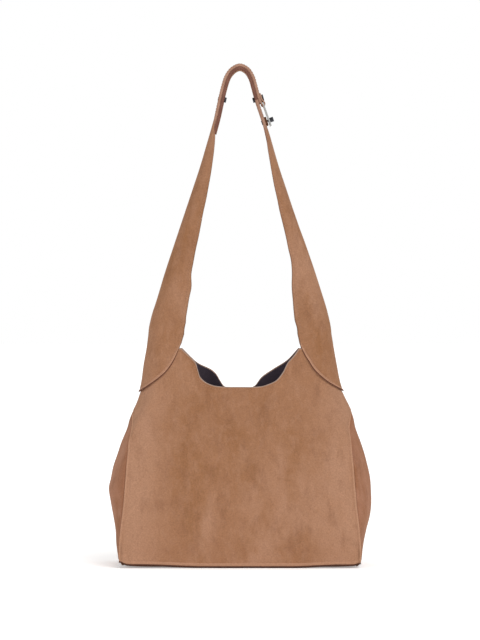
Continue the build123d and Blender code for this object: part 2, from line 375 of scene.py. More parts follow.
# colours of the finishes
suedeFinish = {
    "tan": (0.305, 0.148, 0.078, 1),
    "pale": (0.385, 0.207, 0.128, 1),
    "ochre": (0.255, 0.113, 0.048, 1),
    "dark": (0.175, 0.076, 0.041, 1),
    # patches of the nap: noise scale, detail, roughness and bend, low and high cut, strength
    "cloud": (11, 2.0, 0.5, 0.3, 0.42, 0.64, 0.75),
    "patch": (22, 3.0, 0.6, 0.1, 0.42, 0.70, 0.70),
    "smear": (58, 4.0, 0.65, 0.2, 0.46, 0.76, 0.36),
    "finger": (130, 3.0, 0.6, 0.4, 0.44, 0.74, 0.30),
    "palerFrom": 0.085,   # the panel is painted paler towards its sides, from this far from the middle
    "palerTo": 0.165,
    "shine": {"Specular IOR Level": 0.12, "Sheen Weight": 0.10, "Sheen Roughness": 0.45,
              "Sheen Tint": (1.0, 0.70, 0.50, 1)},
}
liningFinish = {
    "thread": (0.036, 0.023, 0.036, 1),
    "light": (0.070, 0.047, 0.068, 1),
    "twill": 260,
    "cloud": 40,
}
threadFinish = {"low": (0.26, 0.12, 0.062, 1), "high": (0.42, 0.215, 0.12, 1), "ply": 2200}
edgeFinish = {"fibre": 1300, "wearAndHighlight": 90}
metalFinish = {
    "dark": (0.055, 0.055, 0.062, 1),
    "bright": (0.80, 0.79, 0.76, 1),
    "lines": 2600,
    "haze": 220,
}


def plug(tree, made, inputs):
    # a number or colour goes on the socket itself, another node's output is linked to it
    for label, value in inputs.items():
        if isinstance(value, bpy.types.NodeSocket):
            tree.links.new(value, made.inputs[label])
        else:
            made.inputs[label].default_value = value


def node(tree, kind, inputs=None, **settings):
    # nodes are laid out in rows, in the order they are made
    row, column = divmod(len(tree.nodes), 8)
    made = tree.nodes.new(kind)
    made.location = (200 * column, -300 * row)
    for name, value in settings.items():
        setattr(made, name, value)
    plug(tree, made, inputs or {})
    return made


def mathNode(tree, kind, a, b, clamp=False):
    return node(tree, "ShaderNodeMath", {0: a, 1: b}, operation=kind, use_clamp=clamp).outputs[0]


def mixColour(tree, share, a, b, blend="MIX"):
    inputs = {0: share, 6: a, 7: b}
    return node(tree, "ShaderNodeMix", inputs, data_type="RGBA", blend_type=blend).outputs[2]


def objectSpace(tree):
    return node(tree, "ShaderNodeTexCoord").outputs["Object"]


def stretched(tree, coords, scale):
    return node(tree, "ShaderNodeMapping", {"Vector": coords, "Scale": scale}).outputs["Vector"]


def noiseAt(tree, vector, scale, detail, rough, bend=0.0):
    inputs = {"Vector": vector, "Scale": scale, "Detail": detail, "Roughness": rough, "Distortion": bend}
    return node(tree, "ShaderNodeTexNoise", inputs).outputs["Fac"]


def remap(tree, value, low, high):
    inputs = {"Value": value, "From Min": low, "From Max": high}
    made = node(tree, "ShaderNodeMapRange", inputs, interpolation_type="SMOOTHSTEP")
    return made.outputs["Result"]


def greyOf(tree, value):
    return node(tree, "ShaderNodeCombineColor", {0: value, 1: value, 2: value}).outputs[0]


def groupTree(name, inputs, outputs):
    # inputs with their values, where a tuple is a colour
    tree = bpy.data.node_groups.new(name, "ShaderNodeTree")
    for label, value in inputs.items():
        kind = "NodeSocketColor" if isinstance(value, tuple) else "NodeSocketFloat"
        tree.interface.new_socket(label, in_out="INPUT", socket_type=kind).default_value = value
    for label in outputs:
        kind = "NodeSocketColor" if label == "Color" else "NodeSocketFloat"
        tree.interface.new_socket(label, in_out="OUTPUT", socket_type=kind)
    inside = node(tree, "NodeGroupInput").outputs
    return tree, inside, node(tree, "NodeGroupOutput")


def buildSuedeNap():
    inputs = {"Base": suedeFinish["tan"], "Pale": suedeFinish["pale"], "Ochre": suedeFinish["ochre"],
              "Dark": suedeFinish["dark"], "Mottle": 1.0, "Paler Sides": 0.0}
    tree, inside, out = groupTree("suedeNap", inputs, ("Color", "Height", "Roughness"))
    coords = objectSpace(tree)
    tall = stretched(tree, coords, (1.0, 1.0, 0.50))
    masks, shares = {}, {}
    for name in ("cloud", "patch", "smear", "finger"):
        scale, detail, rough, bend, low, high, strength = suedeFinish[name]
        speckle = noiseAt(tree, tall, scale, detail, rough, bend)
        masks[name] = remap(tree, speckle, low, high)
        share = mathNode(tree, "MULTIPLY", masks[name], strength)
        shares[name] = mathNode(tree, "MULTIPLY", share, inside["Mottle"], True)
    grit = noiseAt(tree, coords, 460, 4.0, 0.75)
    brushed = noiseAt(tree, tall, 240, 3.0, 0.65, 1.0)
    # the colour turns paler towards the panel's sides, with a ragged boundary
    across = node(tree, "ShaderNodeSeparateXYZ", {0: coords}).outputs[0]
    aside = mathNode(tree, "ABSOLUTE", across, 0.0)
    ragged = mathNode(tree, "MULTIPLY", masks["cloud"], 0.03)
    aside = mathNode(tree, "ADD", aside, ragged)
    aside = remap(tree, aside, suedeFinish["palerFrom"], suedeFinish["palerTo"])
    lighter = mathNode(tree, "MULTIPLY", aside, inside["Paler Sides"], True)
    paleShare = mathNode(tree, "MAXIMUM", shares["cloud"], lighter)
    keep = mathNode(tree, "MULTIPLY", lighter, 0.75)
    keep = mathNode(tree, "SUBTRACT", 1.0, keep)
    ochreShare = mathNode(tree, "MULTIPLY", shares["patch"], keep, True)
    colour = mixColour(tree, paleShare, inside["Base"], inside["Pale"])
    colour = mixColour(tree, ochreShare, colour, inside["Ochre"])
    colour = mixColour(tree, shares["smear"], colour, inside["Dark"])
    colour = mixColour(tree, shares["finger"], colour, inside["Pale"])
    inputs = {"Value": grit, "From Min": 0.25, "From Max": 0.75, "To Min": 0.78, "To Max": 1.22}
    level = node(tree, "ShaderNodeMapRange", inputs).outputs["Result"]
    colour = mixColour(tree, 1.0, colour, greyOf(tree, level), "MULTIPLY")
    fine = mathNode(tree, "MULTIPLY", grit, 0.6)
    coarse = mathNode(tree, "MULTIPLY", brushed, 0.4)
    rough = mathNode(tree, "MULTIPLY", brushed, 0.12)
    plug(tree, out, {
        "Color": colour,
        "Height": mathNode(tree, "ADD", fine, coarse),
        "Roughness": mathNode(tree, "ADD", rough, 0.84),
    })
    return tree


def newMaterial(name):
    material = bpy.data.materials.new(name)
    material.use_nodes = True
    return material, material.node_tree, material.node_tree.nodes["Principled BSDF"]


def bumpOf(tree, height, strength, distance):
    inputs = {"Height": height, "Strength": strength, "Distance": distance}
    return node(tree, "ShaderNodeBump", inputs).outputs["Normal"]


def suedeMaterial(name, tone=1.0, mottle=1.0, redder=0.0, lighter=0.0, ground="tan"):
    material, tree, shader = newMaterial(name)
    inputs = {"Mottle": mottle, "Paler Sides": lighter}
    for label, key in (("Base", ground), ("Pale", "pale"), ("Ochre", "ochre"), ("Dark", "dark")):
        r, g, b, _ = suedeFinish[key]
        inputs[label] = (r * tone, g * tone * (1 - redder), b * tone * (1 - redder), 1)
    nap = node(tree, "ShaderNodeGroup", inputs, node_tree=suedeNap).outputs
    normal = bumpOf(tree, nap["Height"], 0.5, 0.0006)
    plug(tree, shader, {"Base Color": nap["Color"], "Roughness": nap["Roughness"], "Normal": normal})
    plug(tree, shader, suedeFinish["shine"])
    return material


def buildCutFibre():
    # short fibres showing on a cut or painted edge
    inputs = {"Low": (0.1, 0.05, 0.03, 1), "High": (0.3, 0.2, 0.1, 1)}
    tree, inside, out = groupTree("cutFibre", inputs, ("Color", "Height"))
    coords = objectSpace(tree)
    fibre = noiseAt(tree, coords, edgeFinish["fibre"], 3, 0.7)
    wearAndHighlight = noiseAt(tree, coords, edgeFinish["wearAndHighlight"], 3, 0.6)
    wearAndHighlight = remap(tree, wearAndHighlight, 0.35, 0.75)
    both = mathNode(tree, "ADD", fibre, wearAndHighlight)
    share = mathNode(tree, "MULTIPLY", both, 0.6, True)
    colour = mixColour(tree, share, inside["Low"], inside["High"])
    plug(tree, out, {"Color": colour, "Height": fibre})
    return tree


def buildBrushing():
    # fine brushed lines and a slow haze in metal
    inputs = {"Metal": (0.5, 0.5, 0.5, 1), "Roughness": 0.2}
    tree, inside, out = groupTree("metalBrushing", inputs, ("Color", "Roughness", "Height"))
    coords = objectSpace(tree)
    lines = stretched(tree, coords, (1.0, 0.08, 1.0))
    brushing = noiseAt(tree, lines, metalFinish["lines"], 4, 0.7)
    haze = noiseAt(tree, coords, metalFinish["haze"], 3, 0.6)
    haze = mathNode(tree, "MULTIPLY", haze, 0.3)
    grey = greyOf(tree, mathNode(tree, "ADD", haze, 0.85))
    rough = mathNode(tree, "MULTIPLY", brushing, 0.12)
    plug(tree, out, {
        "Color": mixColour(tree, 1.0, inside["Metal"], grey, "MULTIPLY"),
        "Roughness": mathNode(tree, "ADD", rough, inside["Roughness"]),
        "Height": brushing,
    })
    return tree


def edgeMaterial(name, low, high):
    material, tree, shader = newMaterial(name)
    inputs = {"Low": low, "High": high}
    fibre = node(tree, "ShaderNodeGroup", inputs, node_tree=cutFibre).outputs
    plug(tree, shader, {
        "Base Color": fibre["Color"],
        "Normal": bumpOf(tree, fibre["Height"], 0.4, 0.0004),
        "Roughness": 0.8,
        "Specular IOR Level": 0.2,
    })
    return material


def liningMaterial():
    material, tree, shader = newMaterial("liningTwill")
    coords = objectSpace(tree)
    inputs = {"Vector": coords, "Scale": liningFinish["twill"], "Distortion": 0.6}
    wave = {"wave_type": "BANDS", "bands_direction": "DIAGONAL"}
    twill = node(tree, "ShaderNodeTexWave", inputs, **wave).outputs["Fac"]
    cloud = noiseAt(tree, coords, liningFinish["cloud"], 3, 0.6)
    share = mathNode(tree, "MULTIPLY", twill, cloud)
    plug(tree, shader, {
        "Base Color": mixColour(tree, share, liningFinish["thread"], liningFinish["light"]),
        "Normal": bumpOf(tree, twill, 0.35, 0.0002),
        "Roughness": 0.75,
        "Sheen Weight": 0.15,
    })
    return material


def metalMaterial(name, key, rough):
    material, tree, shader = newMaterial(name)
    inputs = {"Metal": metalFinish[key], "Roughness": rough}
    brushed = node(tree, "ShaderNodeGroup", inputs, node_tree=metalBrushing).outputs
    plug(tree, shader, {
        "Base Color": brushed["Color"],
        "Roughness": brushed["Roughness"],
        "Normal": bumpOf(tree, brushed["Height"], 0.08, 0.0001),
        "Metallic": 1.0,
    })
    return material


def threadMaterial():
    material, tree, shader = newMaterial("sewingThread")
    ply = noiseAt(tree, objectSpace(tree), threadFinish["ply"], 2, 0.6)
    plug(tree, shader, {
        "Base Color": mixColour(tree, ply, threadFinish["low"], threadFinish["high"]),
        "Normal": bumpOf(tree, ply, 0.3, 0.0002),
        "Roughness": 0.6,
    })
    return material


suedeNap = buildSuedeNap()
cutFibre = buildCutFibre()
metalBrushing = buildBrushing()
# the front and back panels are painted paler towards their sides
panelSuede = suedeMaterial("suedePanel", lighter=0.85)
# the gussets' suede is darker and redder; the darkening is painted shade of the sides facing away
shadedGussetSuede = suedeMaterial("suedeGussetShaded", tone=0.94, mottle=1.25, redder=0.10)
strapSuede = suedeMaterial("suedeStrap", tone=0.99)
# the base panel's suede is darkened as painted shade under the bag
shadedBaseSuede = suedeMaterial("suedeBaseShaded", tone=0.42, mottle=0.6, redder=0.10)
# pale suede painted on raised edges as a highlight: the seam's ridge, the rolled lower edge and the lip
# of the strap's foot
ridgeHighlightSuede = suedeMaterial("suedeRidgeHighlight", tone=1.06, mottle=0.15, ground="pale")
# the washer's leather is darkened as painted shade between the knob and the belt
shadedWasherLeather = suedeMaterial("shadedWasherLeather", tone=0.42, mottle=0.5, redder=0.12)
mouthPaint = edgeMaterial("mouthPaint", (0.27, 0.185, 0.145, 1), (0.37, 0.265, 0.215, 1))
beltEdge = edgeMaterial("beltEdge", (0.30, 0.160, 0.108, 1), (0.41, 0.235, 0.165, 1))
# darker edge for the inner belt, painted shade under the arch
shadedTailEdge = edgeMaterial("shadedTailEdge", (0.125, 0.050, 0.036, 1), (0.20, 0.088, 0.062, 1))
# the strap foot's dark edge stands for edge paint together with painted shadow under the foot
footPaintAndShadow = edgeMaterial("footPaintAndShadow", (0.100, 0.038, 0.022, 1), (0.170, 0.070, 0.042, 1))
# near-black edge finish, painted shadow along the bag's lower edge and in the seams between panels and
# gussets
shadowEdge = edgeMaterial("shadowEdge", (0.070, 0.026, 0.012, 1), (0.120, 0.048, 0.026, 1))
boardFibre = edgeMaterial("boardFibre", (0.10, 0.085, 0.07, 1), (0.16, 0.135, 0.11, 1))
liningTwill = liningMaterial()
sewingThread = threadMaterial()
darkMetal = metalMaterial("gunmetal", "dark", 0.30)
brightMetal = metalMaterial("polishedNickel", "bright", 0.10)
print("finishes built")


# the two big suede panels
suedePanels = {
    "rows": 88,
    "footRows": (0.0, 0.0009, 0.0024, 0.0046, 0.0070, 0.0100),
    "edgeRows": (0.0086, 0.0066, 0.0053, 0.0042, 0.0031, 0.0020, 0.0013, 0.0006, 0.0),
    "hemRow": 5,
    "mouthColumns": 150,
    # distances from the side seam to the first columns of the panel
    "seamColumns": (
        0.0, 0.0002, 0.0006, 0.0010, 0.0015, 0.0021, 0.0028, 0.0037, 0.0050, 0.0070,
        0.0100, 0.0140, 0.0190, 0.0245, 0.0305, 0.0365, 0.0425, 0.0485, 0.0545, 0.0600,
    ),
    "paintedFaces": 2,             # rows of the lip that carry the edge paint
    "shadowFaces": 2,                # rows of the lower edge darkened as painted contact shadow
    "highlightFaces": (4, 5),         # rows and columns painted paler along the lower edge and the seam, a painted highlight on the rolled edge and the seam's ridge
    "tuck": (0.0010, 0.0020),      # how far the edge turns past the seam, and how deep
    "calm": (0.010, 0.038),        # flat so far from the magnet, slack after so much more
    "seamTop": (0.225, 0.02),      # where the turned seam ends, and over what height
    # height, distance from the edge and width of the seam, the dip inside it, the lip and its hem
    "ridge": (0.0010, 0.0016, 0.0013),
    "valley": (-0.0008, 0.0046, 0.0012),
    "lip": (0.0006, 0.0018, 0.0014),
    "hem": (-0.0006, 0.0042, 0.0009),
    # slow unevenness of a slack panel: depth, stretch, scale, seed
    "dents": ((0.0040, 0.8, 13, 3.1), (0.0014, 0.7, 37, 7.7)),
    # waves of the lining: stretch, scale, seed, how far they lean inwards, fades
    "liningWave": (0.6, 26, 11, 0.9, 0.04, 0.03),
    # soft folds running down from the corners of the mouth: middle, width, slant, depth
    "folds": (
        (-0.052, 0.016, 0.10, 0.0040), (-0.030, 0.012, 0.02, -0.0020),
        (0.058, 0.018, -0.12, 0.0036), (0.030, 0.013, 0.0, -0.0016),
    ),
    "foldRun": (0.14, 0.10, 0.28),  # where they start, over what height, and where middles are given
    # low belly: depth, height, spread, reach to the sides
    "swell": (0.0022, 0.055, 0.035, 0.12),
    # slack crease over the base edge: depth, height, spread, ripple
    "crease": (-0.0020, 0.020, 0.010, 34),
    # pulls from the sides towards the middle: start, lean, depth
    "pulls": (
        (-0.115, 0.315, 0.00150), (0.118, -0.28, 0.00135),
        (-0.145, 0.175, 0.00105), (0.150, -0.1575, 0.00105),
    ),
    "pullWidth": 0.010,
    "pullRun": (0.215, 0.13, 0.05, 0.262, 0.03),  # height of the starts, fade in, fade out
    "slackFrom": (0.01, 0.05, 0.04),  # dents grow from this height, upwards and away from the seam
    "darkBelow": 0.23,        # the cut side edge below this height is darkened as painted shade in the seam's crevice
    "threadLift": 0.0001,
}

magnetLow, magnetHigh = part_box("magnet_front")
magnetHeight = (magnetLow[2] + magnetHigh[2]) / 2


def panelTop(name):
    # top edge from one side's outermost point to the other, over both ears
    ear = bagBody["earHeight"]
    mouth = smoothLine(mouthEdge[name], suedePanels["mouthColumns"])
    walks = suedePanels["seamColumns"]
    left = [[-levelAt(ear, False).point(walk)[0], ear] for walk in walks]
    right = [[levelAt(ear, True).point(walk)[0], ear] for walk in walks]
    return left + mouth + right[::-1]


def panelRelief(x, z, face):
    # folds below the mouth, the swell and crease low down, and pulls from the sides
    start, run, given = suedePanels["foldRun"]
    out = 0.0
    for centre, width, slant, depth in suedePanels["folds"]:
        out += depth * hump(x - centre - slant * (given - z), width) * ease((z - start) / run)
    depth, height, spread, reach = suedePanels["swell"]
    out += depth * hump(z - height, spread) * math.exp(-((x / reach) ** 4))
    depth, height, spread, ripple = suedePanels["crease"]
    out += depth * hump(z - height, spread) * (0.6 + 0.4 * math.sin(x * ripple + face))
    given, low, lowFade, high, highFade = suedePanels["pullRun"]
    for start, lean, depth in suedePanels["pulls"]:
        pull = depth * hump(x - start - lean * (z - given), suedePanels["pullWidth"])
        out -= pull * ease((z - low) / lowFade) * ease((high - z) / highFade)
    return out


def panelRow(r, topZ, steep, floor, drop):
    # height of one row where the panel's top edge stands at topZ
    starts, middle, cuts = suedePanels["footRows"], suedePanels["rows"], suedePanels["edgeRows"]
    roof = topZ - drop
    if r < len(starts):
        return floor + starts[r]
    if r < len(starts) + middle:
        low = floor + starts[-1]
        return low + (roof - cuts[0] * steep - low) * (r - len(starts) + 1) / (middle + 1)
    return roof - cuts[r - len(starts) - middle] * steep


def buildPanel(name, face, inset=0.0, drop=0.0, wrinkle=0.0, floor=0.0):
    top = panelTop(name)
    rows = len(suedePanels["footRows"]) + suedePanels["rows"] + len(suedePanels["edgeRows"])
    flat, slackAfter = suedePanels["calm"]
    slackLow, slackRise, slackIn = suedePanels["slackFrom"]
    seamEnd, seamFade = suedePanels["seamTop"]
    verts = []
    for r in range(rows):
        for c, (topX, topZ) in enumerate(top):
            steep = steepness(top, c)
            z = panelRow(r, topZ, steep, floor, drop)
            level = levelAt(topZ, topX > 0)
            share = (level.length - walkTo(topZ, topX)) / (level.length - level.seam)
            share = math.copysign(share, topX)
            side = 1 if share > 0 else -1
            level = levelAt(z, side > 0)
            walk = level.length - abs(share) * (level.length - level.seam)
            spot = outlineSpot(z, walk, side, face)
            fromSeam = (1 - abs(share)) * (level.length - level.seam)
            fromLip = (topZ - drop - z) / steep
            out = panelRelief(spot.x, z, face) - inset - lowerRoll(z)
            calm = ease((z - slackLow) / slackRise) * ease(fromSeam / slackIn)
            calm *= ease((math.hypot(spot.x, z - magnetHeight) - flat) / slackAfter)
            for depth, stretch, scale, seed in suedePanels["dents"]:
                out += depth * softNoise((spot.x, 0, z * stretch), scale, face * seed) * calm
            if not inset:
                if c in (0, len(top) - 1):
                    walk -= suedePanels["tuck"][0]
                    out -= suedePanels["tuck"][1]
                seamed = 1 - ease((z - seamEnd) / seamFade)
                for key in ("ridge", "valley", "lip", "hem"):
                    depth, place, width = suedePanels[key]
                    if key in ("ridge", "valley"):
                        out += depth * hump(fromSeam - place, width) * seamed
                    else:
                        out += depth * hump(fromLip - place, width)
            if wrinkle:
                stretch, scale, seed, lean, lipFade, floorFade = suedePanels["liningWave"]
                loose = ease(fromLip / lipFade) * ease((z - floor) / floorFade)
                out += wrinkle * (softNoise((spot.x, 0, z * stretch), scale, seed + face) - lean) * loose
            spot = outlineSpot(z, walk, side, face, out)
            spot.z = z + edgeLift(spot.x, z)
            verts.append(spot)
    return verts, gridFaces(rows, len(top), flipped=face > 0), rows, len(top)


def gridNormals(verts, columns, row, sign):
    # outward directions along one row of a grid
    found = []
    for c in range(columns):
        a, b = verts[row * columns + max(c - 1, 0)], verts[row * columns + min(c + 1, columns - 1)]
        low, high = verts[(row - 1) * columns + c], verts[(row + 1) * columns + c]
        found.append((b - a).cross(high - low).normalized() * sign)
    return found


def suedePanel(name, face):
    pieceName = name + "Panel"
    verts, faces, rows, columns = buildPanel(name, face)
    painted = rows - 1 - suedePanels["paintedFaces"]
    highlightRows, highlightColumns = suedePanels["highlightFaces"]
    body, rim, thread, lighter, dark = range(5)
    slots = []
    for f in range(len(faces)):
        row, column = divmod(f, columns - 1)
        beside = 1 <= min(column, columns - 2 - column) <= highlightColumns
        # faces along the lower edge and beside the seam take pale suede, a painted highlight on these
        # raised edges
        wearAndHighlight = row < highlightRows or beside and verts[row * columns].z < suedePanels["seamTop"][0]
        # the lowest rows are painted dark as contact shadow
        low = row < suedePanels["shadowFaces"]
        slots.append(rim if row >= painted else dark if low else lighter if wearAndHighlight else body)
    finishes = [panelSuede, mouthPaint, sewingThread, ridgeHighlightSuede, shadowEdge]
    piece = meshObject(pieceName, verts, faces, finishes, slots)
    thicken(piece, bagBody["wall"], rim)
    # the panel's side edges low down are painted dark, shade in the seam
    darkRim(piece, rim, dark, suedePanels["darkBelow"])
    hem = rows - 1 - suedePanels["hemRow"]
    margin = len(suedePanels["seamColumns"]) + 2
    facing = gridNormals(verts, columns, hem, -face)[margin:-margin]
    facing = [-n if n.y * face < 0 else n for n in facing]
    path = verts[hem * columns + margin:(hem + 1) * columns - margin]
    path = [spot + out * suedePanels["threadLift"] for spot, out in zip(path, facing)]
    stitchMesh(piece, path, facing, stitch["pitch"], thread)
    standIn(piece, "bag", "suede", name + "_panel")


suedePanel("front", -1)
suedePanel("back", 1)

# side gussets between the panels
sideGusset = {
    "rows": 96,
    "columns": 44,
    "topGap": 0.0005,
    "thick": 0.0018,
    "seamDrop": (0.0015, 0.0035),   # depth and width of the dip along the seams
    "crease": (0.0022, 0.006),      # depth and width of the slack crease up the middle
    "creaseRun": (0.10, 0.06, 0.04),  # where it starts, and its fades below and above
    "dent": (0.0018, 20, 4.7),      # depth, scale, seed
    "slackFrom": (0.03, 0.012, 0.05),  # dents grow away from the seam, and above this height
    "wave": (24, 2.2, 0.02),        # scale, seed and fade at the seam of the lining's waves
}


def gussetGrid(side, inset=0.0, floor=0.0, wrinkle=0.0):
    rows, columns, top = sideGusset["rows"], sideGusset["columns"], bagBody["gussetTop"]
    seamDrop, seamWidth = sideGusset["seamDrop"]
    creaseDepth, creaseWidth = sideGusset["crease"]
    creaseLow, lowFade, highFade = sideGusset["creaseRun"]
    dent, dentScale, dentSeed = sideGusset["dent"]
    slackIn, slackLow, slackRise = sideGusset["slackFrom"]
    waveScale, waveSeed, waveFade = sideGusset["wave"]
    verts = []
    for r in range(rows):
        z = floor + (top - sideGusset["topGap"] - floor) * r / (rows - 1)
        level = levelAt(z, side > 0)
        for c in range(columns):
            share = 2 * c / (columns - 1) - 1
            walk = abs(share) * level.seam
            face = 1 if share > 0 else -1
            fromSeam = (1 - abs(share)) * level.seam
            spot = outlineSpot(z, walk, side, face)
            out = -inset - lowerRoll(z)
            if not inset:
                out -= seamDrop * hump(fromSeam, seamWidth)
                slack = ease(fromSeam / slackIn) * ease((z - slackLow) / slackRise)
                out += dent * softNoise((spot.y, side, z), dentScale, side * dentSeed) * slack
                upper = ease((z - creaseLow) / lowFade) * ease((top - z) / highFade)
                out -= creaseDepth * hump(walk, creaseWidth) * upper
            if wrinkle:
                wave = softNoise((spot.y, side, z), waveScale, side * waveSeed)
                out += wrinkle * wave * ease(fromSeam / waveFade)
            spot = outlineSpot(z, walk, side, face, out)
            spot.z = z + rimLift(spot.x, spot.y, z)
            verts.append(spot)
    return verts, gridFaces(rows, columns, flipped=side < 0)


for side, name in ((-1, "left"), (1, "right")):
    verts, faces = gussetGrid(side)
    # the gusset's lowest row and its cut edges are painted dark, shadow at the floor and in the seams
    slots = [1 if f < sideGusset["columns"] - 1 else 0 for f in range(len(faces))]
    piece = meshObject("gusset" + name.capitalize(), verts, faces, [shadedGussetSuede, shadowEdge], slots)
    area = flatArea(piece)
    thicken(piece, sideGusset["thick"], 1)
    standIn(piece, "bag", "suede", "gusset_" + name)
    print("gusset built", name, round(area, 4))

# base panel, its stiffener and the lining over them
basePlate = {
    "rings": 16,
    "around": 240,
    # how far inside the footprint, how high, how thick
    "suede": (0.0058, 0.0013, 0.0022),
    "board": (0.0110, 0.0037, 0.0018),
    "lining": (0.0056, 0.0058, 0.0006),
    "sag": (0.0004, 30, 5),   # depth, scale, seed
    "ends": 0.15,             # the ends curl up beyond this distance, the rest follows the long edges
    "halfDepth": 0.074,
}


def baseOutline(out):
    # closed ring of points round the footprint, seen from above
    ring = []
    for side, face in ((1, -1), (1, 1), (-1, 1), (-1, -1)):
        level = levelAt(0.0, side > 0)
        steps = basePlate["around"] // 4
        walks = [level.length * k / steps for k in range(steps)]
        if (side, face) in ((1, -1), (-1, 1)):
            walks = [level.length - w for w in walks]
        ring += [outlineSpot(0.0, w, side, face, out) for w in walks]
    return ring


def buildBase(key, name, plateMaterial, rimMaterial):
    inset, height, thick = basePlate[key]
    ring = baseOutline(-inset)
    rings, count = basePlate["rings"], len(ring)
    depth, scale, seed = basePlate["sag"]
    verts = []
    for r in range(rings):
        share = 1 - r / rings
        for spot in ring:
            lift = rimLift(spot.x, spot.y, 0) - lowerEdge["clear"]
            if abs(spot.x) > basePlate["ends"]:
                lift *= share**6
            else:
                lift *= (spot.y / basePlate["halfDepth"]) ** 2 * share**3
            x, y = spot.x * share, spot.y * share
            sag = depth * softNoise((x, y, 0), scale, seed)
            verts.append(Vector((x, y, height + lift + max(sag, 0.0))))
    verts.append(Vector((0, 0, height)))
    last = (rings - 1) * count
    faces = gridFaces(rings, count, closed=True, flipped=True)
    faces += [(last + (c + 1) % count, last + c, len(verts) - 1) for c in range(count)]
    piece = meshObject(name, verts, faces, [plateMaterial, rimMaterial])
    area = flatArea(piece)
    thicken(piece, thick, 1, offset=0.0)
    return piece, area


# the base takes darkened suede with a near-black rim, painted shade under the bag
basePanel, area = buildBase("suede", "basePanel", shadedBaseSuede, shadowEdge)
standIn(basePanel, "bag", "suede", "base_panel")
print("base built", round(area, 4))
stiffener, area = buildBase("board", "baseStiffener", boardFibre, boardFibre)
standIn(stiffener, "bag", "board", "base_board")

# lining pieces hang just inside the suede
liningCloth = {
    "inset": 0.0030,
    "drop": 0.0016,
    "thick": 0.0006,
    "floor": 0.0055,
    "panelSlack": 0.0022,
    "sideSlack": 0.0015,
}


def hangLining(name, verts, faces):
    piece = meshObject("lining" + name.capitalize(), verts, faces, [liningTwill])
    thicken(piece, liningCloth["thick"], 0)
    standIn(piece, "bag", "lining", "lining_" + name)


inset, drop, floor = liningCloth["inset"], liningCloth["drop"], liningCloth["floor"]
for face, name in ((-1, "front"), (1, "back")):
    verts, faces, _, _ = buildPanel(name, face, inset, drop, liningCloth["panelSlack"], floor)
    hangLining(name, verts, faces)
for side, name in ((-1, "left"), (1, "right")):
    verts, faces = gussetGrid(side, inset, floor, liningCloth["sideSlack"])
    hangLining(name, verts, faces)
liningBase, area = buildBase("lining", "liningBase", liningTwill, liningTwill)
standIn(liningBase, "bag", "lining", "lining_base")
print("lining built")

# the strap's halves, each a sheet folded lengthwise with a foot sewn to the bag
strapHalf = {
    "columns": 49,
    "stations": 270,
    "thick": 0.0044,
    "footShare": 0.58,       # the foot's thickness as a share of the belt's
    # height, half spread of the fold's legs, then outer line x and depth of the fold, left and right
    "arms": [
        (0.3300, 0.0270, -0.1385, 0.0492, 0.1385, 0.0466),
        (0.3450, 0.0272, -0.1380, 0.0492, 0.1380, 0.0466),
        (0.3577, 0.0272, -0.1365, 0.0522, 0.1365, 0.0505),
        (0.3757, 0.0271, -0.1320, 0.0517, 0.1322, 0.0507),
        (0.3937, 0.0268, -0.1260, 0.0484, 0.1270, 0.0482),
        (0.4117, 0.0264, -0.1205, 0.0457, 0.1213, 0.0440),
        (0.4297, 0.0260, -0.1152, 0.0440, 0.1156, 0.0396),
        (0.4477, 0.0254, -0.1095, 0.0381, 0.1097, 0.0332),
        (0.4657, 0.0248, -0.1035, 0.0353, 0.1035, 0.0283),
        (0.4837, 0.0241, -0.0975, 0.0327, 0.0972, 0.0262),
        (0.5017, 0.0235, -0.0915, 0.0308, 0.0905, 0.0232),
        (0.5197, 0.0229, -0.0855, 0.0283, 0.0842, 0.0212),
        (0.5377, 0.0222, -0.0795, 0.0257, 0.0780, 0.0195),
        (0.5557, 0.0214, -0.0735, 0.0238, 0.0720, 0.0171),
        (0.5737, 0.0205, -0.0675, 0.0212, 0.0660, 0.0152),
        (0.5917, 0.0195, -0.0615, 0.0184, 0.0600, 0.0125),
        (0.6097, 0.0182, -0.0560, 0.0155, 0.0545, 0.0100),
        (0.6277, 0.0168, -0.0508, 0.0125, 0.0494, 0.0078),
        (0.6457, 0.0155, -0.0455, 0.0082, 0.0442, 0.0045),
        (0.6580, 0.0151, -0.0420, 0.0030, 0.0400, 0.0012),
    ],
    # the belt over the shoulder, its outer line from left to right
    "shoulder": [
        (-0.0378, 0.6730), (-0.0324, 0.6980), (-0.0280, 0.7165), (-0.0222, 0.7335), (-0.0130, 0.7450),
        (0.0, 0.7503), (0.0130, 0.7445), (0.0212, 0.7325), (0.0260, 0.7170), (0.0300, 0.7020),
    ],
    "tailEnd": (-0.0444, 0.6478),
    "beltEnd": (0.0330, 0.6925),
    "innerStart": [(0.0355, 0.6710), (0.0306, 0.6855)],   # the inner belt slips under the outer one
    "halfBelt": 0.0150,
    "beltFold": 0.0004,
    "slack": (0.0018, 0.62, 15, 5.3),  # waviness of the legs: depth, up to what height, scale, seed
    "darkUpTo": 0.0245,               # the inner belt's edge is painted dark as shade under the arch only up to here
    "between": 0.0001,                # gap between the two belts
    "thickenRows": (4, 30),           # rows below the foot's top where it starts, and over how many
    "sewnRows": (4, 3),               # rows left without belt stitches at the start and the end
    "sewnColumn": 2,
}
